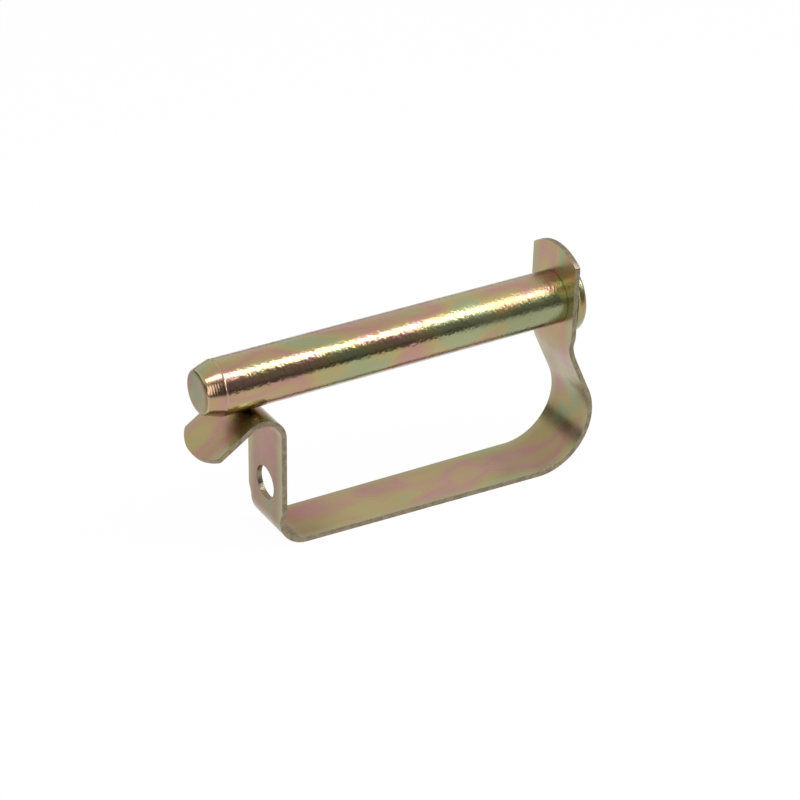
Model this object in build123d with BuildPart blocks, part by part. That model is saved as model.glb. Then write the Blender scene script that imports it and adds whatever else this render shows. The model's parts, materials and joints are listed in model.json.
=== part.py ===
from build123d import *
from math import cos, radians, sin, tan
import os

# Round pin, turned from bar
pin_diameter = 10.0
pin_length = 71.6  # nose face to the shoulder that meets the strap
nose_length = 3.4
nose_face_diameter = 7.7
nose_edge_radius = 0.3
nose_shoulder_radius = 0.4
spigot_diameter = 7.0  # turned down end that passes through the strap
rivet_diameter = 14.2
rivet_thickness = 1.8
rivet_rim_radius = 0.7
rivet_dome_height = 0.35

# Running fits between the pin and the strap
eye_clearance = 0.05  # on the radius, between spigot and strap
end_play = 0.05  # on each side of the strap
fold_clearance = 0.15  # between the shank and the spring fold

# Spring strap, one strip of sheet
sheet_thickness = 1.0
base_splay = 1.5  # degrees by which the base opens away from the pin
loop_depth = 26.3  # shank to base, beside the catch plate
catch_position = 12.7  # nose face to the outer face of the catch plate
ramp_angle = 33.3  # degrees below the pin
ramp_length = 9.7  # straight part, from the fold to the middle of its end
leg_lean = 25.0  # degrees that the leg leans out below the head plate
head_drop = 6.2  # pin axis to the lowest flat part of the head plate

# Radii on the inside of each bend
ramp_bend = 3.5
base_bend = 4.6
heel_bend = 10.0
neck_bend = 11.5

# Widths of the strip
head_width = 13.2
leg_width = 11.8
base_width = 10.6
catch_width = 12.3

# Cut outline of the strip
dome_radius = 10.6
dome_corner_radius = 0.6
neck_length = 3.0  # over which the head plate narrows to the leg
neck_start = 5.5  # pin axis to where it starts to narrow
neck_corner_radius = 4.0
ramp_end_radius = 9.2
ramp_corner_radius = 0.8
catch_shoulder_drop = 24.4  # pin axis to where the catch plate starts to narrow
catch_shoulder_length = 2.4
catch_shoulder_radius = 2.5
lanyard_hole_diameter = 6.2
lanyard_hole_drop = 21.4  # pin axis to hole centre

# Sizes that follow from those above
pin_radius = pin_diameter / 2
half_sheet = sheet_thickness / 2
head_face = pin_length + end_play
head_x = head_face + half_sheet
catch_x = catch_position + half_sheet
splay_slope = tan(radians(base_splay))
base_drop = pin_radius + loop_depth + half_sheet - splay_slope * (catch_position + sheet_thickness)

# Side view of the strip's middle line: x runs from the nose face, y up from the pin's axis
ramp_mid_radius = ramp_bend + half_sheet
ramp_tangent = ramp_mid_radius * tan(radians(90 + ramp_angle) / 2)
fold_centre_y = -(pin_radius + fold_clearance + half_sheet + ramp_mid_radius)
fold_corner = Vector(catch_x, fold_centre_y + ramp_tangent)
ramp_direction = Vector(-cos(radians(ramp_angle)), -sin(radians(ramp_angle)))
ramp_end = fold_corner + ramp_direction * (ramp_tangent + ramp_length)
base_corner = Vector(catch_x, -base_drop - splay_slope * catch_x)
neck_mid_radius = neck_bend + half_sheet
neck_corner = Vector(head_x, -head_drop - neck_mid_radius * tan(radians(leg_lean) / 2))
lean_slope = tan(radians(leg_lean))
heel_reach = lean_slope * (base_drop + splay_slope * head_x + neck_corner.Y) / (1 - lean_slope * splay_slope)
heel_corner = Vector(head_x + heel_reach, -base_drop - splay_slope * (head_x + heel_reach))

with BuildSketch() as strip_section:
    with BuildLine() as strip_line:
        FilletPolyline(
            (head_x, dome_radius),
            neck_corner,
            heel_corner,
            base_corner,
            fold_corner,
            ramp_end,
            radius=(neck_mid_radius, heel_bend + half_sheet, base_bend + half_sheet, ramp_mid_radius),
        )
    trace(line_width=sheet_thickness)

# The base lies flat on the ground plane, and the pin climbs from the nose by the splay
section_box = strip_section.sketch.rotate(Axis.Z, base_splay).bounding_box()
nose_height = half_sheet + base_drop * cos(radians(base_splay))
side = Plane(
    origin=(-section_box.center().X, 0, nose_height),
    x_dir=(cos(radians(base_splay)), 0, sin(radians(base_splay))),
    z_dir=(0, -1, 0),
)
pin_axis = Axis(side.origin, side.x_dir)
from_above = Plane(origin=side.origin, x_dir=side.x_dir, z_dir=side.y_dir)


def across_pin(distance):
    """Plane square to the pin, at a distance from its nose face."""
    return Plane(origin=side.from_local_coords((distance, 0, 0)), x_dir=(0, 1, 0), z_dir=side.x_dir)


# Pin: nose, shank, spigot and rivet head, turned about one axis
rivet_start = head_face + sheet_thickness + end_play
rivet_end = rivet_start + rivet_thickness
with BuildPart() as locking_pin:
    with BuildSketch(side) as pin_section:
        with BuildLine():
            Polyline(
                (rivet_end, rivet_diameter / 2),
                (rivet_start, rivet_diameter / 2),
                (rivet_start, spigot_diameter / 2),
                (pin_length, spigot_diameter / 2),
                (pin_length, pin_radius),
                (nose_length, pin_radius),
                (0, nose_face_diameter / 2),
                (0, 0),
                (rivet_end + rivet_dome_height, 0),
            )
            TangentArc((rivet_end + rivet_dome_height, 0), (rivet_end, rivet_diameter / 2), tangent=(0, 1))
        make_face()
        corners = pin_section.vertices()
        fillet(corners.group_by(Axis.Y)[-1], radius=rivet_rim_radius)
        nose_corners = pin_section.vertices().filter_by(lambda corner: corner.Y > 0).sort_by(Axis.X)[:2]
        fillet(nose_corners[0], radius=nose_edge_radius)
        fillet(nose_corners[1], radius=nose_shoulder_radius)
    revolve(axis=pin_axis)
locking_pin.part.label = "locking_pin"

# Strap: the folded section at its full width, cut back to the outline of the strip
base_start, base_end = strip_line.edges().filter_by(GeomType.LINE).sort_by(Axis.Y)[0].vertices().sort_by(Axis.X)
far_side = head_width  # further out than any edge of the strip
far_below = 2 * nose_height  # further down than any part of the strip


def strip_waste(plane, outline_points, corner_radius):
    """Face of what lies outside both long edges of the strip, seen along it."""
    first, last = outline_points[0], outline_points[-1]
    with BuildSketch(plane) as waste:
        with BuildLine():
            FilletPolyline(*outline_points, radius=corner_radius)
            Polyline(first, (far_side, first[1]), (far_side, last[1]), last)
        make_face()
        mirror(about=Plane.YZ)
    return waste.sketch


with BuildPart() as spring_strap:
    with BuildSketch(side):
        add(strip_section.sketch)
    extrude(amount=head_width / 2, both=True)

    # Ramp, fold and catch plate, down to the narrower base
    catch_outline = (
        (catch_width / 2, 0),
        (catch_width / 2, -catch_shoulder_drop),
        (base_width / 2, -catch_shoulder_drop - catch_shoulder_length),
        (base_width / 2, -far_below),
    )
    ramp_reach = ramp_end.X - sheet_thickness
    catch_waste = strip_waste(across_pin(ramp_reach), catch_outline, catch_shoulder_radius)
    extrude(catch_waste, amount=base_start.X - ramp_reach, mode=Mode.SUBTRACT)

    # Head plate, narrowing to the leg and the heel
    leg_outline = (
        (head_width / 2, 0),
        (head_width / 2, -neck_start),
        (leg_width / 2, -neck_start - neck_length),
        (leg_width / 2, -far_below),
    )
    leg_waste = strip_waste(across_pin(base_end.X), leg_outline, neck_corner_radius)
    extrude(leg_waste, amount=heel_corner.X - base_end.X, mode=Mode.SUBTRACT)

    # Base, tapering from the heel to the catch plate
    with BuildSketch(from_above):
        with BuildLine():
            Polyline(
                (base_start.X, base_width / 2),
                (base_end.X, leg_width / 2),
                (base_end.X, far_side),
                (base_start.X, far_side),
                close=True,
            )
        make_face()
        mirror(about=Plane.XZ)
    extrude(amount=far_below, both=True, mode=Mode.SUBTRACT)

    # Rounded end of the ramp
    ramp_rise = side.x_dir * cos(radians(ramp_angle)) + side.y_dir * sin(radians(ramp_angle))
    ramp_plane = Plane(side.from_local_coords(ramp_end), x_dir=ramp_rise, z_dir=ramp_rise.cross(Vector(0, 1, 0)))
    with BuildSketch(ramp_plane):
        Rectangle(2 * ramp_end_radius, far_side)
        with Locations((ramp_end_radius, 0)):
            Circle(ramp_end_radius, mode=Mode.SUBTRACT)
    extrude(amount=sheet_thickness, both=True, mode=Mode.SUBTRACT)
    ramp_corners = edges().filter_by(Axis(ramp_plane.origin, ramp_plane.z_dir)).sort_by(Axis.X)[:2]
    fillet(ramp_corners, radius=ramp_corner_radius)

    # Domed top of the head plate
    with BuildSketch(across_pin(head_face)):
        with Locations((0, far_side)):
            Rectangle(2 * far_side, 2 * far_side)
        Circle(dome_radius, mode=Mode.SUBTRACT)
    extrude(amount=sheet_thickness, mode=Mode.SUBTRACT)
    dome_corners = edges().filter_by(pin_axis).group_by(Axis.Z)[-1]
    fillet(dome_corners, radius=dome_corner_radius)

    # Eye for the spigot
    with BuildSketch(across_pin(head_face)):
        Circle(spigot_diameter / 2 + eye_clearance)
    extrude(amount=sheet_thickness, mode=Mode.SUBTRACT)

    # Lanyard hole
    with BuildSketch(across_pin(catch_position)):
        with Locations((0, -lanyard_hole_drop)):
            Circle(lanyard_hole_diameter / 2)
    extrude(amount=sheet_thickness, mode=Mode.SUBTRACT)
spring_strap.part.label = "spring_strap"

os.makedirs("parts", exist_ok=True)
export_step(locking_pin.part, "parts/locking_pin.step")
export_step(spring_strap.part, "parts/spring_strap.step")
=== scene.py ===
import bmesh
import bpy
import json
from math import atan2, cos, hypot, pi, radians, sin, sqrt, tan
from mathutils import Matrix, Vector


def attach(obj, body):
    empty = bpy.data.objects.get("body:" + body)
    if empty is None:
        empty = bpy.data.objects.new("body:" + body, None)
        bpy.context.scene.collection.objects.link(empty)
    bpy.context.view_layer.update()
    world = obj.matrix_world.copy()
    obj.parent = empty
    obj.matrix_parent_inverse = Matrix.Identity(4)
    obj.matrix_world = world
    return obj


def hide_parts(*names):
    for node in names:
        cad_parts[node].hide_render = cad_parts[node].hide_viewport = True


bl_info = {
    "name": "Lynch Pin",
    "version": (1, 0, 0),
    "blender": (4, 5, 0),
    "location": "View3D > Sidebar > Lynch Pin",
    "description": "Turns the pin, folds the spring strap and sets up the studio for them",
    "category": "Object",
}

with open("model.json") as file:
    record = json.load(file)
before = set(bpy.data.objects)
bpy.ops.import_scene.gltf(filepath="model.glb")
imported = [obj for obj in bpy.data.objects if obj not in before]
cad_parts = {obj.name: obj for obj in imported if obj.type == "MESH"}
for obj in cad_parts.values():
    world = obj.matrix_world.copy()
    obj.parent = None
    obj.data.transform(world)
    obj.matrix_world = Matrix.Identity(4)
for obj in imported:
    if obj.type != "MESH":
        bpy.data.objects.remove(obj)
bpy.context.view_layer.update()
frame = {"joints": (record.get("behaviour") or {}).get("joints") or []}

SWIVEL = frame["joints"][0]
ALONG_PIN = Vector(SWIVEL["axis"])
EYE_CENTRE = Vector(SWIVEL["pos_m"])
SPLAY = atan2(ALONG_PIN.z, ALONG_PIN.x)  # the pin climbs by this angle above the base

MM = 0.001
WHITE = (1, 1, 1, 1)

# Fineness of what is round
PIN_SIDES = 160
HOLE_SIDES = 96

# Angles past which an edge is shaded sharp, and past which an edge of the strap is rounded
PIN_CREASE = radians(35)
STRAP_CREASE = radians(40)
CUT_EDGE_ANGLE = radians(50)

# Sockets of the Mix node for colours, which share their names with those for numbers
MIX_AMOUNT, MIX_UNDER, MIX_OVER, MIX_RESULT = 0, 6, 7, 2

# Scale at which the wave texture has one ring for each unit of its coordinates
ONE_RING_PER_UNIT = 0.314

# Camera and floor
SENSOR_WIDTH = 36
NEAREST_SEEN = 10 * MM
FLOOR_MIDDLE = (0.2, 0.35, 0)
FLOOR_SIZE = (1.6, 1.2, 1)


def length(name, description, millimetres):
    """A length in metres, written in the millimetres that it is drawn with."""
    return bpy.props.FloatProperty(
        name=name, description=description, default=millimetres * MM, min=0, unit="LENGTH", precision=5
    )


def angle(name, description, degrees):
    """An angle in radians, written in degrees."""
    return bpy.props.FloatProperty(
        name=name, description=description, default=radians(degrees), subtype="ANGLE"
    )


def colour(name, description, red, green, blue):
    """A colour of the plating, as linear values."""
    return bpy.props.FloatVectorProperty(
        name=name, description=description, default=(red, green, blue, 1), size=4, min=0, max=1,
        subtype="COLOR",
    )


class PinSizes(bpy.types.PropertyGroup):
    """Sizes of the turned pin."""

    diameter: length("Pin Diameter", "Across the plain shank", 10)
    reach: length("Pin Length", "From the nose face to the shoulder behind the strap", 71.6)
    nose_length: length("Nose Length", "Length of the long chamfer", 3.4)
    nose_face: length("Nose Face", "Across the flat end of the nose", 7.7)
    nose_swell: length("Nose Swell", "By which the chamfer bulges at its middle", 0.04)
    nose_edge: length("Nose Edge", "Rounding between nose face and chamfer", 0.6)
    nose_shoulder: length("Nose Shoulder", "Rounding between chamfer and shank", 0.14)
    spigot: length("Spigot", "Across the end that passes through the strap", 7)
    rivet: length("Rivet Head", "Across the head formed outside the strap", 14.2)
    rivet_depth: length("Rivet Depth", "Thickness of the rivet head at its rim", 1.8)
    rivet_rim: length("Rivet Rim", "Rounding of the rim of the rivet head", 0.7)
    rivet_dome: length("Rivet Dome", "Rise of the rivet head at its middle", 0.35)
    end_play: length("End Play", "Clear space on each side of the strap", 0.05)


class StrapSizes(bpy.types.PropertyGroup):
    """Sizes of the folded spring strap."""

    sheet: length("Sheet", "Thickness of the strip", 1)
    loop_depth: length("Loop Depth", "Shank to base beside the catch plate", 26.3)
    fold_clearance: length("Fold Clearance", "Shank to spring fold", 0.15)
    catch_position: length("Catch Position", "Nose face to the outer face of the catch plate", 12.7)
    ramp_angle: angle("Ramp Angle", "Slope of the ramp below the pin", 33.3)
    ramp_length: length("Ramp Length", "Straight part of the ramp", 9.7)
    leg_lean: angle("Leg Lean", "Lean of the leg below the head plate", 25)
    head_drop: length("Head Drop", "Pin axis to the lowest flat part of the head plate", 6.2)
    ramp_bend: length("Fold Radius", "Inside radius of the spring fold", 3.5)
    base_bend: length("Base Bend", "Inside radius between catch plate and base", 4.6)
    heel_bend: length("Heel Bend", "Inside radius of the heel", 10)
    neck_bend: length("Neck Bend", "Inside radius of the neck", 11.5)
    head_width: length("Head Width", "Width of the head plate", 13.2)
    leg_width: length("Leg Width", "Width of the leg and the heel", 11.8)
    base_width: length("Base Width", "Width of the base beside the catch plate", 10.6)
    catch_width: length("Catch Width", "Width of the ramp, the fold and the catch plate", 12.3)
    dome_radius: length("Dome Radius", "Top of the head plate, about the pin's axis", 10.6)
    dome_corner: length("Dome Corner", "Rounding at the corners of the dome", 0.6)
    ramp_end: length("Ramp End", "Radius of the rounded end of the ramp", 9.2)
    ramp_corner: length("Ramp Corner", "Rounding at the corners of the ramp's end", 0.8)
    neck_start: length("Neck Start", "Pin axis to where the head plate starts to narrow", 5.5)
    neck_length: length("Neck Length", "Over which the head plate narrows", 3)
    catch_shoulder: length("Catch Shoulder", "Pin axis to where the catch plate narrows", 24.4)
    shoulder_length: length("Shoulder Length", "Over which the catch plate narrows", 2.4)
    hole: length("Lanyard Hole", "Across the hole in the catch plate", 6.2)
    hole_drop: length("Hole Drop", "Pin axis to the middle of the lanyard hole", 21.4)
    eye_clearance: length("Eye Clearance", "Spigot to eye, on the radius", 0.05)
    edge: length("Edge", "Rounding that the tumbled sheet has along its cut edges", 0.27)


class PlatingColours(bpy.types.PropertyGroup):
    """Colours that run into each other in the yellow passivated plating."""

    green: colour("Green", "Green bloom", 0.36, 0.38, 0.20)
    gold: colour("Gold", "Yellow between green and tan", 0.45, 0.36, 0.155)
    tan: colour("Tan", "Main tone", 0.46, 0.315, 0.17)
    rose: colour("Rose", "Pink bloom", 0.48, 0.262, 0.21)
    # Pale tone laid as rubbed wear on the nose edge, and as a painted highlight line on the pin's shoulder
    pale_wear_and_glint: colour("Pale Wear and Glint", "Pale tone of a rubbed edge", 0.74, 0.68, 0.52)
    bare: colour("Bare", "Greyish tone of the cut edges", 0.31, 0.25, 0.17)
    shaded: colour("Shaded", "Darker tone of the cut edges", 0.22, 0.18, 0.12)


class StudioSettings(bpy.types.PropertyGroup):
    """Camera and lights."""

    lens: bpy.props.FloatProperty(
        name="Lens", description="Focal length on a 36 mm sensor", default=101.46, min=1, unit="CAMERA"
    )
    turn: angle("Turn", "Camera's turn round the pin from its side", -31.8)
    tilt: angle("Tilt", "Camera's height above the pin's level", 30.11)
    roll: angle("Roll", "Camera's roll", 1.31)
    distance: length("Distance", "Camera to the point that it looks at", 399.04)
    look_along: length("Look Along", "Nose face to the point that the camera looks at", 39.83)
    look_down: length("Look Down", "Pin axis down to the point that the camera looks at", 12.63)
    softbox: bpy.props.FloatProperty(
        name="Softbox", description="Power of the long softbox", default=2.4, min=0, unit="POWER"
    )
    fill: bpy.props.FloatProperty(
        name="Fill", description="Power of the fill light in front", default=0.7, min=0, unit="POWER"
    )
    ceiling: bpy.props.FloatProperty(
        name="Ceiling", description="Light from above and behind", default=0.9, min=0
    )
    front: bpy.props.FloatProperty(
        name="Front", description="Light of the dim side in front", default=0.2, min=0
    )


# Working by hand in object and edit mode


def clear_selection():
    """Nothing is selected, in object mode."""
    if bpy.context.mode != "OBJECT":
        bpy.ops.object.mode_set(mode="OBJECT")
    bpy.ops.object.select_all(action="DESELECT")


def pick(piece):
    """The piece alone is selected and active, in object mode."""
    clear_selection()
    piece.select_set(True)
    bpy.context.view_layer.objects.active = piece


def start_shaping(piece):
    """Edit mode on one piece, with single points to choose from."""
    pick(piece)
    bpy.ops.object.transform_apply(location=True, rotation=True, scale=True)
    bpy.ops.object.mode_set(mode="EDIT")
    bpy.ops.mesh.select_mode(type="VERT")


def choose_points(piece, is_wanted):
    """Selects the points of the piece that pass a test of their place."""
    mesh = bmesh.from_edit_mesh(piece.data)
    for point in mesh.verts:
        point.select = is_wanted(point.co)
    mesh.select_flush_mode()
    mesh.select_flush(True)
    bmesh.update_edit_mesh(piece.data)
    if not any(point.select for point in mesh.verts):
        raise RuntimeError("No point of " + piece.name + " is where one was looked for")


def near(first, second):
    """Whether two lengths are the same to a thousandth of a millimetre."""
    return abs(first - second) < 0.001 * MM


def push(travel):
    """Extrudes what is selected by a vector."""
    bpy.ops.mesh.extrude_region_move(TRANSFORM_OT_translate={"value": travel})


def move(travel):
    """Moves what is selected by a vector."""
    bpy.ops.transform.translate(value=travel)


def widen(factors, centre):
    """Scales what is selected about a point."""
    bpy.ops.transform.resize(value=factors, center_override=centre)


def finish_with(piece, kind, **settings):
    """Adds a modifier with its settings and applies it."""
    modifier = piece.modifiers.new(kind.title(), kind)
    for name, value in settings.items():
        setattr(modifier, name, value)
    bpy.ops.object.modifier_apply(modifier=modifier.name)


def face_outward():
    """Turns every face of the closed mesh in edit mode outward."""
    bpy.ops.mesh.select_all(action="SELECT")
    bpy.ops.mesh.normals_make_consistent(inside=False)


def pin_to_row():
    """Turns the pin's own frame, with its nose face at zero, into the row frame."""
    pin = bpy.context.scene.pin_sizes
    strap = bpy.context.scene.strap_sizes
    head_middle = pin.reach + pin.end_play + strap.sheet / 2
    return Matrix.Translation(EYE_CENTRE - ALONG_PIN * head_middle) @ Matrix.Rotation(-SPLAY, 4, "Y")


def set_in_frame(piece, body, node):
    """Puts a finished piece into the row frame, on its body and in its node's place."""
    pick(piece)
    piece.matrix_world = pin_to_row() @ piece.matrix_world
    bpy.ops.object.transform_apply(location=True, rotation=True, scale=True)
    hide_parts(node)
    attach(piece, body)


# Finishes


def add_node(nodes, kind, label, values=None, **settings):
    """Adds a node with its settings, and with plain values in its inputs."""
    made = nodes.new(kind)
    made.label = label
    for name, value in settings.items():
        setattr(made, name, value)
    for name, value in (values or {}).items():
        made.inputs[name].default_value = value
    return made


class Finish:
    """A material and the few kinds of node that its pattern is made of."""

    def __init__(self, name):
        self.material = bpy.data.materials.new(name)
        self.material.use_nodes = True
        self.nodes = self.material.node_tree.nodes
        self.links = self.material.node_tree.links
        self.shader = self.nodes["Principled BSDF"]

    def feed(self, value, socket):
        """Leads another node's value into a socket, or sets the socket to a plain value."""
        if isinstance(value, bpy.types.NodeSocket):
            self.links.new(value, socket)
        else:
            socket.default_value = value

    def give(self, name, value):
        """Feeds a socket of the shader."""
        self.feed(value, self.shader.inputs[name])

    def place(self, label, scale, shift=(0, 0, 0)):
        """Coordinates of the pin's own frame, stretched by a scale and moved by a shift."""
        coordinates = add_node(self.nodes, "ShaderNodeTexCoord", "Piece")
        nose_face = {"Location": pin_to_row().to_translation(), "Rotation": (0, -SPLAY, 0)}
        turned = add_node(
            self.nodes, "ShaderNodeMapping", "Square to the Pin", nose_face, vector_type="TEXTURE"
        )
        stretched = add_node(self.nodes, "ShaderNodeMapping", label, {"Scale": scale, "Location": shift})
        self.feed(coordinates.outputs["Object"], turned.inputs["Vector"])
        self.feed(turned.outputs["Vector"], stretched.inputs["Vector"])
        return stretched.outputs["Vector"]

    def distances(self, label):
        """Distances along the pin, across it and up, from the middle of its nose face."""
        split = add_node(self.nodes, "ShaderNodeSeparateXYZ", label)
        self.feed(self.place(label, (1, 1, 1)), split.inputs["Vector"])
        return split.outputs

    def noise(self, label, scale, detail=2.0, roughness=0.5, distortion=0.0, shift=(0, 0, 0)):
        """Noise whose patches measure about one over the scale, in metres."""
        values = {"Scale": 1.0, "Detail": detail, "Roughness": roughness, "Distortion": distortion}
        noise = add_node(self.nodes, "ShaderNodeTexNoise", label, values)
        self.feed(self.place(label, scale, shift), noise.inputs["Vector"])
        return noise.outputs["Fac"]

    def ramp(self, label, source, stops):
        """Colours along a value from zero to one."""
        ramp = add_node(self.nodes, "ShaderNodeValToRGB", label)
        ramp.color_ramp.interpolation = "EASE"
        places = ramp.color_ramp.elements
        while len(places) < len(stops):
            places.new(1.0)
        for place, (position, tone) in zip(places, stops):
            place.position = position
            place.color = tone
        self.feed(source, ramp.inputs["Fac"])
        return ramp.outputs["Color"]

    def work_out(self, label, operation, first, second=None):
        """One value from one or two others."""
        made = add_node(self.nodes, "ShaderNodeMath", label, operation=operation)
        self.feed(first, made.inputs[0])
        if second is not None:
            self.feed(second, made.inputs[1])
        return made.outputs["Value"]

    def levels(self, label, source, low, high, first=0.3, last=0.7):
        """Spreads a part of a value, by itself the middle of a noise, from a low level to a high one."""
        values = {"From Min": first, "From Max": last, "To Min": low, "To Max": high}
        levels = add_node(self.nodes, "ShaderNodeMapRange", label, values)
        self.feed(source, levels.inputs["Value"])
        return levels.outputs["Result"]

    def stripe(self, label, source, middle, reach, amount):
        """A soft stripe that is strongest where the source is at its middle."""
        rising = self.levels(label + " Rises", source, 0.0, amount, middle - reach, middle)
        falling = self.levels(label + " Falls", source, 0.0, -amount, middle, middle + reach)
        return self.work_out(label, "ADD", rising, falling)

    def tint(self, label, under, over, amount=1.0, blend="MULTIPLY"):
        """Lays one colour over another."""
        mix = add_node(self.nodes, "ShaderNodeMix", label, data_type="RGBA", blend_type=blend)
        self.feed(amount, mix.inputs[MIX_AMOUNT])
        self.feed(under, mix.inputs[MIX_UNDER])
        self.feed(over, mix.inputs[MIX_OVER])
        return mix.outputs[MIX_RESULT]

    def relief(self, label, height, depth, under=None):
        """Bump of a real depth, on top of another if one is given."""
        bump = add_node(self.nodes, "ShaderNodeBump", label, {"Strength": 1.0, "Distance": depth})
        self.feed(height, bump.inputs["Height"])
        if under is not None:
            self.feed(under, bump.inputs["Normal"])
        return bump.outputs["Normal"]


def plating_pattern(finish, bloom, slow, stops, dullest, lightest):
    """Soft bloom of colours under a slow drift between a duller and a lighter shade."""
    base = finish.ramp("Bloom Colours", bloom, stops)
    shade = finish.ramp("Drift Colours", slow, ((0.35, dullest), (0.65, lightest)))
    return finish.tint("Drift over Bloom", base, shade)


def pin_plating():
    """Turned bar: soft patches drawn out along the pin, greener towards the head, and a turned nose."""
    finish = Finish("pin_plating")
    sizes = bpy.context.scene.pin_sizes
    tones = bpy.context.scene.plating_colours
    along = finish.distances("Along the Pin")["X"]
    reach = sizes.reach
    nose = sizes.nose_length

    # Bloom of the plating
    patches = finish.noise(
        "Bloom", scale=(75, 190, 190), detail=1.2, roughness=0.45, distortion=0.25, shift=(8.6, 16.6, 25)
    )
    to_green = finish.levels(
        "Towards Green", along, low=0.03, high=-0.06, first=reach * 0.3, last=reach * 0.9
    )
    bloom = finish.work_out("Greener at the Head", "ADD", patches, to_green)
    stops = (
        (0.36, tones.green),
        (0.43, tones.gold),
        (0.49, tones.tan),
        (0.57, tones.rose),
        (0.66, tones.tan),
        (0.74, tones.green),
    )
    slow = finish.noise("Drift", scale=(30, 90, 90), detail=1.0)
    dullest = (0.78, 0.78, 0.74, 1)
    lightest = (0.94, 0.94, 0.92, 1)
    plated = plating_pattern(finish, bloom, slow, stops, dullest, lightest)

    # Duller nose face, rubbed wear at the nose edge, and a pale line at the shoulder that is a painted
    # highlight
    on_face = finish.levels("On the Nose Face", along, low=1.0, high=0.0, first=0.1 * MM, last=0.3 * MM)
    face_shade = (0.66, 0.66, 0.62, 1)
    faced = finish.ramp("Faced Tone", on_face, ((0.0, WHITE), (1.0, face_shade)))
    duller = finish.tint("Duller Nose Face", plated, faced)
    # The pale stripe at the shoulder is a painted highlight standing for light caught by a burr; the one at
    # the nose edge is rubbed wear
    shoulder = finish.stripe("Shoulder", along, middle=nose, reach=0.14 * MM, amount=0.12)
    nose_edge = finish.stripe("Nose Edge", along, middle=0.36 * MM, reach=0.14 * MM, amount=0.2)
    rubbed_and_glint = finish.work_out("Rubbed Edge and Painted Glint", "ADD", shoulder, nose_edge)
    finish.give("Base Color", finish.tint("Rubbed Edge and Painted Glint over Plating", duller, tones.pale_wear_and_glint, rubbed_and_glint, "MIX"))

    # Haze, rougher towards the head and on the nose face
    haze = finish.levels(
        "Haze to Roughness", finish.noise("Haze", scale=(160, 300, 300), detail=3.0), low=0.15, high=0.24
    )
    head_haze = finish.levels(
        "Rougher Head End", along, low=0.0, high=0.1, first=reach * 0.4, last=reach * 0.8
    )
    face_haze = finish.levels("Rougher Nose Face", on_face, low=0.0, high=0.2, first=0.0, last=1.0)
    shank_haze = finish.work_out("Haze along the Pin", "ADD", haze, head_haze)
    finish.give("Roughness", finish.work_out("Roughness", "ADD", shank_haze, face_haze))

    # Turning marks, a dappled skin on the shank, rings on the nose and a burr between them
    marks = finish.relief("Turning Marks", finish.noise("Marks", scale=(2600, 650, 650)), depth=0.02 * MM)
    off_nose = finish.levels("Off the Nose", along, low=0.0, high=1.0, first=nose, last=nose + MM)
    dapple = finish.noise("Skin", scale=(1900, 1300, 1300))
    skin_height = finish.work_out("Skin off the Nose", "MULTIPLY", dapple, off_nose)
    skin = finish.relief("Skin", skin_height, depth=0.07 * MM, under=marks)
    ring_values = {"Scale": ONE_RING_PER_UNIT, "Distortion": 1.2, "Detail": 2.0}
    rings = add_node(
        finish.nodes, "ShaderNodeTexWave", "Turning Rings", ring_values,
        wave_type="BANDS", bands_direction="X",
    )
    finish.feed(finish.place("Rings per Metre", (2300, 60, 60)), rings.inputs["Vector"])
    on_nose = finish.levels("On the Nose", along, low=1.0, high=0.0, first=nose, last=nose * 1.06)
    ring_height = finish.work_out("Rings End at the Shank", "MULTIPLY", rings.outputs["Fac"], on_nose)
    turned = finish.relief("Turned", ring_height, depth=0.007 * MM, under=skin)
    burr = finish.stripe("Burr", along, middle=nose, reach=0.14 * MM, amount=1.0)
    burred = finish.relief("Burr at the Shoulder", burr, depth=0.06 * MM, under=turned)
    finish.give("Normal", burred)
    finish.give("Coat Normal", burred)
    finish.give("Coat Weight", 0.5)
    finish.give("Coat Roughness", 0.16)
    finish.give("Metallic", 1.0)
    return finish.material


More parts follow.
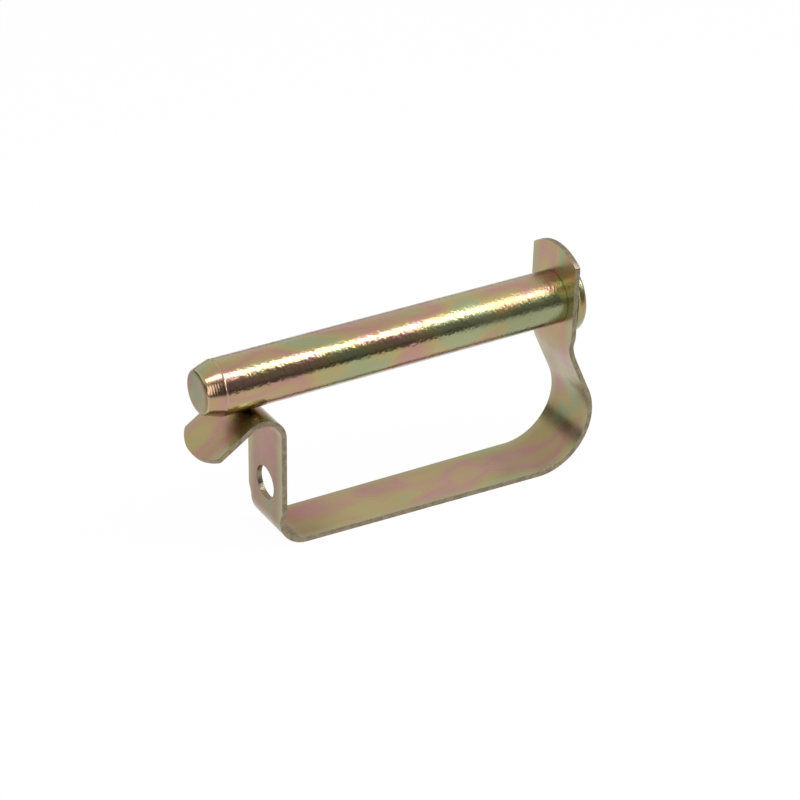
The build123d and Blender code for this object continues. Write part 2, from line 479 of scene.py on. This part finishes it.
def strap_plating():
    """Rolled sheet: rounder patches, green sides, a pinker catch plate darkened by painted shade, faint
    streaks along the strip.
    """
    finish = Finish("strap_plating")
    sizes = bpy.context.scene.strap_sizes
    tones = bpy.context.scene.plating_colours
    distances = finish.distances("Strip")
    along = distances["X"]

    # Bloom of the plating
    bloom = finish.noise(
        "Bloom", scale=(85, 150, 85), detail=1.4, roughness=0.45, distortion=0.2, shift=(9.5, 5.6, 1.9)
    )
    stops = (
        (0.33, tones.green),
        (0.43, tones.gold),
        (0.50, tones.tan),
        (0.59, tones.rose),
        (0.70, tones.tan),
    )
    slow = finish.noise("Drift", scale=(45, 60, 45), detail=1.0, shift=(25.2, 17.9, 25.2))
    dullest = (0.72, 0.72, 0.70, 1)
    lightest = (0.92, 0.92, 0.90, 1)
    plated = plating_pattern(finish, bloom, slow, stops, dullest, lightest)

    # Pinker catch plate, also darkened as painted shade: a reflection of a shadowed floor painted into the
    # colour
    catch = sizes.catch_position
    from_ramp = finish.levels("From the Ramp", along, low=0.0, high=1.0, first=catch * 0.83, last=catch)
    to_base = finish.levels(
        "Along the Base", along, low=1.0, high=0.0, first=catch * 1.2, last=catch * 2.5
    )
    painted_shade_near_catch = finish.work_out("Near the Catch Plate", "MULTIPLY", from_ramp, to_base)
    # Darker and pinker: the darkening is painted shade, the pink tint is the plating's own tone
    pink_and_painted_shade = (0.76, 0.64, 0.66, 1)
    pink_and_shade_ramp = finish.ramp("Painted Shade and Pink", painted_shade_near_catch, ((0.0, WHITE), (1.0, pink_and_painted_shade)))
    pink_and_shaded = finish.tint("Pinker Catch Plate", plated, pink_and_shade_ramp)

    # Green sides
    off_middle = finish.work_out("Off the Middle", "ABSOLUTE", distances["Y"])
    side = sizes.base_width / 2
    near_side = finish.levels(
        "Near a Side", off_middle, low=0.0, high=0.7, first=side * 0.72, last=side * 1.15
    )
    finish.give("Base Color", finish.tint("Green Sides", pink_and_shaded, tones.green, near_side, "MIX"))

    # Haze, grain and rolling streaks
    haze = finish.noise("Haze", scale=(220, 220, 220), detail=3.0)
    finish.give("Roughness", finish.levels("Haze to Roughness", haze, low=0.24, high=0.36))
    fine = finish.noise("Grain", scale=(1800, 1800, 1800), detail=3.0)
    grain = finish.relief("Grain", fine, depth=0.015 * MM)
    rolled = finish.noise("Rolling", scale=(120, 3500, 120), detail=1.0)
    finish.give("Normal", finish.relief("Rolling", rolled, depth=0.004 * MM, under=grain))
    finish.give("Coat Weight", 0.3)
    finish.give("Coat Roughness", 0.25)
    finish.give("Metallic", 1.0)
    return finish.material


def sheared_edge():
    """Cut edge of the sheet: greyer and rougher, torn across its thickness."""
    finish = Finish("sheared_edge")
    tones = bpy.context.scene.plating_colours
    patches = finish.noise("Patches", scale=(900, 900, 900), detail=3.0)
    finish.give("Base Color", finish.ramp("Patches", patches, ((0.38, tones.shaded), (0.6, tones.bare))))
    tear = finish.noise("Tear", scale=(2000, 2000, 2000), detail=3.0)
    finish.give("Roughness", finish.levels("Tear to Roughness", tear, low=0.28, high=0.5))
    finish.give("Normal", finish.relief("Tear", tear, depth=0.08 * MM))
    finish.give("Metallic", 1.0)
    return finish.material


def white_sweep():
    """Paper sweep that shows white and keeps a faint shadow."""
    paper_grey = (0.82, 0.82, 0.82, 1)
    share_of_white = 0.97
    finish = Finish("white_sweep")
    finish.give("Base Color", paper_grey)
    finish.give("Roughness", 0.9)
    finish.give("Specular IOR Level", 0.0)
    glow = add_node(finish.nodes, "ShaderNodeEmission", "White", {"Color": WHITE, "Strength": 1.0})
    ray = add_node(finish.nodes, "ShaderNodeLightPath", "Ray").outputs
    seen = finish.work_out("Seen by the Camera", "MAXIMUM", ray["Is Camera Ray"], ray["Is Glossy Ray"])
    shown = finish.work_out("Seen at All", "MAXIMUM", seen, ray["Is Transmission Ray"])
    share = finish.work_out("Share of White", "MULTIPLY", shown, share_of_white)
    mix = add_node(finish.nodes, "ShaderNodeMixShader", "White over Paper")
    finish.feed(share, mix.inputs["Fac"])
    finish.feed(finish.shader.outputs["BSDF"], mix.inputs[1])
    finish.feed(glow.outputs["Emission"], mix.inputs[2])
    finish.feed(mix.outputs["Shader"], finish.nodes["Material Output"].inputs["Surface"])
    return finish.material


# Pin


def turn_pin(sizes, sheet):
    """Turns the pin: ring after ring from the nose face to the top of the rivet head."""
    rivet_start = sizes.reach + 2 * sizes.end_play + sheet
    rivet_end = rivet_start + sizes.rivet_depth
    shank = sizes.diameter / 2
    chamfer_middle = (sizes.nose_face + sizes.diameter) / 4 + sizes.nose_swell
    rings = [
        (sizes.nose_length / 2, chamfer_middle),
        (sizes.nose_length, shank),
        (sizes.reach, shank),
        (sizes.reach, sizes.spigot / 2),
        (rivet_start, sizes.spigot / 2),
        (rivet_start, sizes.rivet / 2),
        (rivet_end, sizes.rivet / 2),
    ]
    for share in (0.82, 0.64, 0.46, 0.28, 0.1):  # of the rivet head's radius, up to its middle
        rings.append((rivet_end + sizes.rivet_dome * (1 - share**2), sizes.rivet / 2 * share))
    clear_selection()
    bpy.ops.mesh.primitive_circle_add(
        vertices=PIN_SIDES, radius=sizes.nose_face / 2, fill_type="NGON", rotation=(0, radians(-90), 0)
    )
    pin = bpy.context.object
    pin.name = "turned_pin"
    start_shaping(pin)
    bpy.ops.mesh.select_all(action="SELECT")
    place, radius = 0.0, sizes.nose_face / 2
    for next_place, next_radius in rings:
        push((next_place - place, 0, 0))
        factor = next_radius / radius
        widen((1, factor, factor), (next_place, 0, 0))
        place, radius = next_place, next_radius
    bpy.ops.mesh.merge(type="CENTER")
    face_outward()
    round_ring(pin, 0, sizes.nose_face / 2, sizes.nose_edge, steps=4)
    round_ring(pin, sizes.nose_length, shank, sizes.nose_shoulder, steps=2)
    round_ring(pin, rivet_start, sizes.rivet / 2, sizes.rivet_rim, steps=6)
    round_ring(pin, rivet_end, sizes.rivet / 2, sizes.rivet_rim, steps=6)
    choose_points(pin, lambda point: near(point.x, 0))
    flat_margin = 0.3 * MM  # keeps the nose face flat up to its rounding
    bpy.ops.mesh.inset(thickness=flat_margin)
    bpy.ops.object.mode_set(mode="OBJECT")
    bpy.ops.object.shade_smooth_by_angle(angle=PIN_CREASE)
    finish_with(pin, "WEIGHTED_NORMAL", keep_sharp=True)
    return pin


def round_ring(pin, place, radius, size, steps):
    """Rounds one ring of edges about the pin's axis."""
    choose_points(pin, lambda point: near(point.x, place) and near(hypot(point.y, point.z), radius))
    bpy.ops.mesh.bevel(offset=size, offset_type="OFFSET", segments=steps, profile=0.5, affect="EDGES")


# Strap


def rounded_end(half_width, arc, corner):
    """Points across an end that is an arc with rounded corners, and the reach of the first of them.

    Each point is its offset to the side and its reach from the arc's centre.
    """
    corner_side = half_width - corner
    corner_reach = sqrt((arc - corner) ** 2 - corner_side**2)
    meeting = atan2(corner_reach, corner_side)
    corner_steps, arc_steps = 8, 32
    points = []
    for step in range(corner_steps):
        turn = meeting * step / corner_steps
        points.append((corner_side + corner * cos(turn), corner_reach + corner * sin(turn)))
    for step in range(arc_steps + 1):
        turn = meeting + (pi - 2 * meeting) * step / arc_steps
        points.append((arc * cos(turn), arc * sin(turn)))
    for side, reach in reversed(points[:corner_steps]):
        points.append((-side, reach))
    return points, corner_reach


def shape_end(strap, is_end, outward, points, first_reach):
    """Gives the straight edge at an end of the strip the outline of the points."""
    choose_points(strap, is_end)
    bpy.ops.mesh.subdivide(number_cuts=len(points) - 2, ngon=True)
    mesh = bmesh.from_edit_mesh(strap.data)
    sides = sorted((point.co.y for point in mesh.verts if is_end(point.co)), reverse=True)
    same_side = 0.00001 * MM
    for side, (new_side, reach) in zip(sides, points):
        choose_points(strap, lambda point: is_end(point) and abs(point.y - side) < same_side)
        move(outward * (reach - first_reach) + Vector((0, new_side - side, 0)))


def heading(turn):
    """Unit vector in the side view at an angle above the pin's direction."""
    return Vector((cos(turn), 0, sin(turn)))


def bend(place, direction, radius, turn, steps):
    """Bends on from the selected edge, to the left where the turn is positive, and gives the new place."""
    side = 1 if turn > 0 else -1
    centre = place + heading(direction + side * pi / 2) * radius
    bpy.ops.mesh.spin(steps=steps, angle=turn, center=centre, axis=(0, 1, 0))
    return centre + heading(direction + turn - side * pi / 2) * radius


def fold_strap(sizes, pin):
    """Folds the strip from the ramp's free end to the domed head plate, then gives it its thickness."""
    half_sheet = sizes.sheet / 2
    shank = pin.diameter / 2
    head_x = pin.reach + pin.end_play + half_sheet
    catch_x = sizes.catch_position + half_sheet
    slope = tan(SPLAY)
    base_drop = shank + sizes.loop_depth + half_sheet - slope * (sizes.catch_position + sizes.sheet)
    fold_radius = sizes.ramp_bend + half_sheet
    base_radius = sizes.base_bend + half_sheet
    heel_radius = sizes.heel_bend + half_sheet
    neck_radius = sizes.neck_bend + half_sheet
    fold_level = -(shank + sizes.fold_clearance + half_sheet + fold_radius)

    # Ramp, from its rounded end up to the fold
    fold_turn = -(pi / 2 + sizes.ramp_angle)
    up_ramp = heading(sizes.ramp_angle)
    fold_centre = Vector((catch_x - fold_radius, 0, fold_level))
    ramp_top = fold_centre + heading(sizes.ramp_angle + pi / 2) * fold_radius
    ramp_points, ramp_reach = rounded_end(sizes.catch_width / 2, sizes.ramp_end, sizes.ramp_corner)
    arc_centre = ramp_top - up_ramp * (sizes.ramp_length - sizes.ramp_end)
    ramp_foot = arc_centre - up_ramp * ramp_reach
    straight = (ramp_top - ramp_foot).length
    clear_selection()
    bpy.ops.mesh.primitive_plane_add(
        size=1, location=(ramp_top + ramp_foot) / 2, rotation=(0, -sizes.ramp_angle, 0)
    )
    strap = bpy.context.object
    strap.name = "folded_strap"
    strap.scale = (straight, sizes.catch_width, 1)
    start_shaping(strap)

    # Spring fold and catch plate
    choose_points(strap, lambda point: near(point.x, ramp_top.x))
    place = bend(ramp_top, sizes.ramp_angle, fold_radius, fold_turn, steps=24)
    push((0, 0, -sizes.catch_shoulder - place.z))
    shoulder_steps = 10
    for step in range(shoulder_steps):
        narrow_row(step, shoulder_steps, sizes.catch_width, sizes.base_width, sizes.shoulder_length)

    # Bend into the base, and the base up to the heel
    base_turn = pi / 2 - SPLAY
    base_corner = Vector((catch_x, 0, -base_drop - slope * catch_x))
    bend_start = base_corner + Vector((0, 0, base_radius * tan(base_turn / 2)))
    shoulder_end = -sizes.catch_shoulder - sizes.shoulder_length
    # With other sizes the bend may start above the shoulder's end, which then moves up to it
    if bend_start.z < shoulder_end:
        push((0, 0, bend_start.z - shoulder_end))
    else:
        move((0, 0, bend_start.z - shoulder_end))
    place = bend(bend_start, -pi / 2, base_radius, base_turn, steps=20)
    lean = tan(sizes.leg_lean)
    neck_corner_z = -sizes.head_drop - neck_radius * tan(sizes.leg_lean / 2)
    heel_reach = lean * (base_drop + slope * head_x + neck_corner_z) / (1 - lean * slope)
    heel_corner = Vector((head_x + heel_reach, 0, -base_drop - slope * (head_x + heel_reach)))
    heel_turn = pi / 2 + sizes.leg_lean + SPLAY
    heel_start = heel_corner - heading(-SPLAY) * heel_radius * tan(heel_turn / 2)
    push(heel_start - place)
    widen((1, sizes.leg_width / sizes.base_width, 1), heel_start)

    # Heel, leg, neck and head plate
    place = bend(heel_start, -SPLAY, heel_radius, heel_turn, steps=36)
    neck_corner = Vector((head_x, 0, neck_corner_z))
    up_leg = heading(pi / 2 + sizes.leg_lean)
    neck_start = neck_corner - up_leg * neck_radius * tan(sizes.leg_lean / 2)
    push(neck_start - place)
    place = bend(neck_start, pi / 2 + sizes.leg_lean, neck_radius, -sizes.leg_lean, steps=16)
    dome_points, dome_reach = rounded_end(sizes.head_width / 2, sizes.dome_radius, sizes.dome_corner)
    rows, row_height = 4, 0.3 * MM  # above the neck, where the head plate still widens
    for row in range(rows):
        push((0, 0, row_height))
    push((0, 0, dome_reach - place.z - rows * row_height))
    shape_neck(strap, sizes)
    shape_end(strap, lambda point: near(point.z, dome_reach), Vector((0, 0, 1)), dome_points, dome_reach)
    shape_end(strap, lambda point: near(point.x, ramp_foot.x), -up_ramp, ramp_points, ramp_reach)
    bpy.ops.mesh.select_all(action="SELECT")
    same_point = 0.0005 * MM
    bpy.ops.mesh.remove_doubles(threshold=same_point)
    face_outward()
    bpy.ops.object.mode_set(mode="OBJECT")

    # Thickness, holes and tumbled edges
    strap.data.materials.append(strap_plating())
    strap.data.materials.append(sheared_edge())
    finish_with(
        strap, "SOLIDIFY", thickness=sizes.sheet, offset=0, use_even_offset=True, material_offset_rim=1
    )
    punch(strap, (head_x, 0, 0), pin.spigot / 2 + sizes.eye_clearance, sizes.sheet)
    punch(strap, (catch_x, 0, -sizes.hole_drop), sizes.hole / 2, sizes.sheet)
    finish_with(
        strap, "BEVEL", width=sizes.edge, segments=3, limit_method="ANGLE", angle_limit=CUT_EDGE_ANGLE,
        harden_normals=False, material=0,
    )
    bpy.ops.object.shade_smooth_by_angle(angle=STRAP_CREASE)
    finish_with(strap, "WEIGHTED_NORMAL", keep_sharp=True)
    return strap


def ease(share):
    """Share of a change that starts and ends gently."""
    return share * share * (3 - 2 * share)


def narrow_row(step, steps, wide, narrow, reach):
    """Extrudes one row of a shoulder, which eases from one width to another."""
    push((0, 0, -reach / steps))
    width_before = wide + (narrow - wide) * ease(step / steps)
    width_after = wide + (narrow - wide) * ease((step + 1) / steps)
    widen((1, width_after / width_before, 1), (0, 0, 0))


def shape_neck(strap, sizes):
    """Widens the rows of the neck from the width of the leg to that of the head plate."""
    mesh = bmesh.from_edit_mesh(strap.data)
    low = -sizes.neck_start - sizes.neck_length
    behind_catch = sizes.catch_position * 2
    level_digits, same_level = 7, 0.0002 * MM
    levels = set()
    for point in mesh.verts:
        if point.co.z > low and point.co.x > behind_catch:
            levels.add(round(point.co.z, level_digits))
    for level in sorted(levels):
        share = min(max((level - low) / sizes.neck_length, 0), 1)
        width = sizes.leg_width + (sizes.head_width - sizes.leg_width) * ease(share)
        choose_points(strap, lambda point: point.x > behind_catch and abs(point.z - level) < same_level)
        widen((1, width / sizes.leg_width, 1), (0, 0, 0))


def punch(strap, centre, radius, sheet):
    """Punches a round hole through a plate that stands square to the pin."""
    clear_selection()
    bpy.ops.mesh.primitive_cylinder_add(
        vertices=HOLE_SIDES, radius=radius, depth=4 * sheet, location=centre, rotation=(0, radians(90), 0)
    )
    tool = bpy.context.object
    tool.data.materials.append(strap.data.materials[1])
    pick(strap)
    finish_with(
        strap, "BOOLEAN", object=tool, operation="DIFFERENCE", solver="EXACT", material_mode="TRANSFER"
    )
    bpy.data.objects.remove(tool)


# Studio


def set_camera(studio):
    """Camera at the photograph's angle, placed from the pin's own frame."""
    level = cos(studio.tilt)
    back = Vector((sin(studio.turn) * level, -cos(studio.turn) * level, sin(studio.tilt)))
    right = Vector((cos(studio.turn), sin(studio.turn), 0))
    up = back.cross(right)
    rolled_right = right * cos(studio.roll) + up * sin(studio.roll)
    rolled_up = up * cos(studio.roll) - right * sin(studio.roll)
    turned = Matrix((rolled_right, rolled_up, back)).transposed().to_4x4()
    target = Vector((studio.look_along, 0, -studio.look_down))
    bpy.ops.object.camera_add()
    camera = bpy.context.object
    camera.name = "studio_camera"
    camera.data.lens = studio.lens
    camera.data.sensor_width = SENSOR_WIDTH
    camera.data.clip_start = NEAREST_SEEN
    camera.matrix_world = pin_to_row() @ Matrix.Translation(target + back * studio.distance) @ turned
    bpy.context.scene.camera = camera


def add_panel(name, power, direction, distance, width, height, turn=0.0):
    """Area light that faces the pin from a direction, turned about that direction."""
    direction = Vector(direction).normalized()
    bpy.ops.object.light_add(type="AREA", location=direction * distance)
    lamp = bpy.context.object
    lamp.name = name
    facing = direction.to_track_quat("Z", "Y").to_matrix()
    lamp.rotation_euler = (facing @ Matrix.Rotation(turn, 3, "Z")).to_euler()
    lamp.data.shape = "RECTANGLE"
    lamp.data.size = width
    lamp.data.size_y = height
    lamp.data.energy = power


def set_room(ceiling, front):
    """Room that is bright above and behind, and dim in front, along the horizon and in two unlit parts."""
    world = bpy.data.worlds.new("room")
    bpy.context.scene.world = world
    world.use_nodes = True
    nodes = world.node_tree.nodes
    links = world.node_tree.links
    view = add_node(nodes, "ShaderNodeTexCoord", "View")
    unlit = 0.2
    # Name, towards where, how closely it is faced where the change starts and ends, light before and after
    parts = (
        ("Above and Behind", (0, 0.6, 0.8), 0.22, 0.46, front, ceiling),
        ("Above the Horizon", (0, 0, 1), 0.0, 0.22, front, 1.0),
        ("Unlit Part in Front", (-0.25, -0.86, 0.45), 0.8, 0.96, 1.0, unlit),
        ("Unlit Part Behind", (-0.66, 0.74, 0.1), 0.92, 0.985, 1.0, unlit),
    )
    light = None
    for name, towards, start, end, before, after in parts:
        facing = add_node(nodes, "ShaderNodeVectorMath", name, {1: towards}, operation="DOT_PRODUCT")
        values = {"From Min": start, "From Max": end, "To Min": before, "To Max": after}
        level = add_node(nodes, "ShaderNodeMapRange", name, values, interpolation_type="SMOOTHSTEP")
        links.new(view.outputs["Generated"], facing.inputs[0])
        links.new(facing.outputs["Value"], level.inputs["Value"])
        if light is None:
            light = level.outputs["Result"]
            continue
        dimmed = add_node(nodes, "ShaderNodeMath", name, operation="MULTIPLY")
        links.new(light, dimmed.inputs[0])
        links.new(level.outputs["Result"], dimmed.inputs[1])
        light = dimmed.outputs["Value"]
    links.new(light, nodes["Background"].inputs["Strength"])
    nodes["Background"].inputs["Color"].default_value = WHITE


# Operators


class LYNCHPIN_OT_turn_pin(bpy.types.Operator):
    """Turn the pin with its nose, spigot and rivet head"""

    bl_idname = "lynchpin.turn_pin"
    bl_label = "Turn the Pin"

    def execute(self, context):
        pin = turn_pin(context.scene.pin_sizes, context.scene.strap_sizes.sheet)
        pin.data.materials.append(pin_plating())
        set_in_frame(pin, "pin", "locking_pin")
        return {"FINISHED"}


class LYNCHPIN_OT_fold_strap(bpy.types.Operator):
    """Fold the spring strap and punch its holes"""

    bl_idname = "lynchpin.fold_strap"
    bl_label = "Fold the Strap"

    def execute(self, context):
        strap = fold_strap(context.scene.strap_sizes, context.scene.pin_sizes)
        set_in_frame(strap, "strap", "spring_strap")
        return {"FINISHED"}


class LYNCHPIN_OT_set_stage(bpy.types.Operator):
    """Lay the sweep and set the camera and the lights"""

    bl_idname = "lynchpin.set_stage"
    bl_label = "Set the Stage"

    def execute(self, context):
        studio = context.scene.studio
        clear_selection()
        bpy.ops.mesh.primitive_plane_add(size=1, location=FLOOR_MIDDLE)
        floor = context.object
        floor.name = "paper_sweep"
        floor.scale = FLOOR_SIZE
        bpy.ops.object.transform_apply(location=True, rotation=True, scale=True)
        floor.data.materials.append(white_sweep())
        add_panel(
            "softbox", studio.softbox, direction=(0.26, -0.43, 0.95), distance=0.5, width=0.95, height=0.135,
            turn=radians(-42),
        )
        add_panel("fill", studio.fill, direction=(-0.55, -0.72, 0.42), distance=0.6, width=0.25, height=0.4)
        set_room(studio.ceiling, studio.front)
        set_camera(studio)
        context.scene.view_settings.view_transform = "Standard"
        return {"FINISHED"}


class LYNCHPIN_PT_workshop(bpy.types.Panel):
    """Makes the lynch pin step by step"""

    bl_idname = "LYNCHPIN_PT_workshop"
    bl_label = "Lynch Pin"
    bl_space_type = "VIEW_3D"
    bl_region_type = "UI"
    bl_category = "Lynch Pin"

    def draw(self, context):
        for step in STEPS:
            self.layout.operator(step.bl_idname)
        for group in ("pin_sizes", "strap_sizes", "plating_colours", "studio"):
            box = self.layout.box()
            settings = getattr(context.scene, group)
            for name in settings.bl_rna.properties.keys():
                if name not in ("rna_type", "name"):
                    box.prop(settings, name)


STEPS = (LYNCHPIN_OT_turn_pin, LYNCHPIN_OT_fold_strap, LYNCHPIN_OT_set_stage)
GROUPS = {
    "pin_sizes": PinSizes,
    "strap_sizes": StrapSizes,
    "plating_colours": PlatingColours,
    "studio": StudioSettings,
}


def register():
    for name, group in GROUPS.items():
        bpy.utils.register_class(group)
        setattr(bpy.types.Scene, name, bpy.props.PointerProperty(type=group))
    for step in STEPS:
        bpy.utils.register_class(step)
    bpy.utils.register_class(LYNCHPIN_PT_workshop)


def unregister():
    bpy.utils.unregister_class(LYNCHPIN_PT_workshop)
    for step in reversed(STEPS):
        bpy.utils.unregister_class(step)
    for name, group in reversed(list(GROUPS.items())):
        delattr(bpy.types.Scene, name)
        bpy.utils.unregister_class(group)


def main():
    register()
    bpy.ops.lynchpin.turn_pin()
    bpy.ops.lynchpin.fold_strap()
    bpy.ops.lynchpin.set_stage()


if __name__ == "__main__":
    main()
